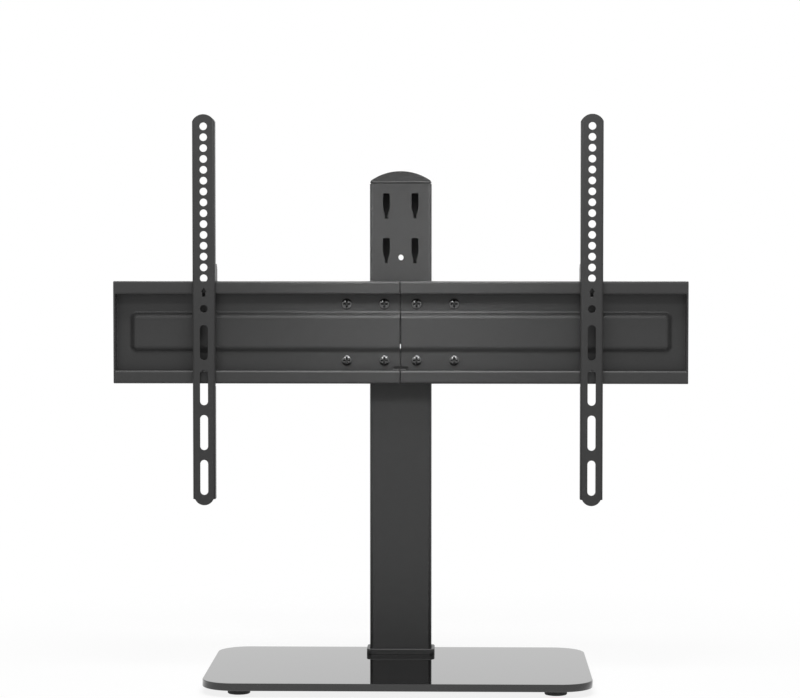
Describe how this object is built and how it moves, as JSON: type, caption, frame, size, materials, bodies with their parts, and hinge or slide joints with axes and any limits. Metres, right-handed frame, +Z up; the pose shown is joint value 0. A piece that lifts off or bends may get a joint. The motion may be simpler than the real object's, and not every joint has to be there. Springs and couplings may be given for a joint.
{
  "type": "tv stand with mount",
  "caption": "Table-top television stand: black glass base, slotted steel post and a height-adjustable cross bracket with sliding hook-on arms.",
  "frame": {"origin": "on the floor, under the middle of the glass base and of the whole object", "axes": "+X to the right as seen by the viewer of the television, +Y to the back, +Z up"},
  "size_m": [0.639, 0.244, 0.62],
  "materials": {
    "black_glass": "polished black toughened glass with ground edges",
    "rubber": "matte moulded rubber",
    "rubber_sheet": "thin matte sheet",
    "powder_coat": "fine matte black powder coat on steel",
    "bracket_coat": "matte black powder coat on steel",
    "cap_plastic": "fine moulded grain",
    "collar_plastic": "satin moulding",
    "nylon": "natural nylon",
    "black_screws": "glossy black plated steel",
    "zinc_bolts": "bright zinc plating",
    "zinc_steel": "zinc-plated sheet steel",
    "foot_block_steel": "plain milled steel"
  },
  "bodies": {
    "stand": {"glass_base": "black_glass", "foot_front_left": "rubber", "foot_front_right": "rubber", "foot_rear_left": "rubber", "foot_rear_right": "rubber", "under_plate": "zinc_steel", "under_pad": "rubber_sheet", "bolt_sleeves": "nylon", "base_bolts": "zinc_bolts", "post_gasket": "rubber_sheet", "base_collar": "collar_plastic", "post": "powder_coat", "post_foot_block": "foot_block_steel", "post_cap": "cap_plastic"},
    "bracket": {"hook_plate": "bracket_coat", "left_hook_blade": "bracket_coat", "right_hook_blade": "bracket_coat", "left_rail": "bracket_coat", "right_rail": "bracket_coat", "left_rail_screws": "black_screws", "right_rail_screws": "black_screws"},
    "left_arm": {"left_arm": "powder_coat"},
    "right_arm": {"right_arm": "powder_coat"}
  },
  "joints": [
    {"name": "bracket_lift_off", "type": "slide", "parent": "stand", "child": "bracket", "axis": [0, -0.4472, 0.8944], "range_m": [0, 0.05]},
    {"name": "left_arm_slide", "type": "slide", "parent": "bracket", "child": "left_arm", "axis": [1, 0, 0], "range_m": [-0.085, 0.115]},
    {"name": "right_arm_slide", "type": "slide", "parent": "bracket", "child": "right_arm", "axis": [-1, 0, 0], "range_m": [-0.085, 0.115]}
  ]
}
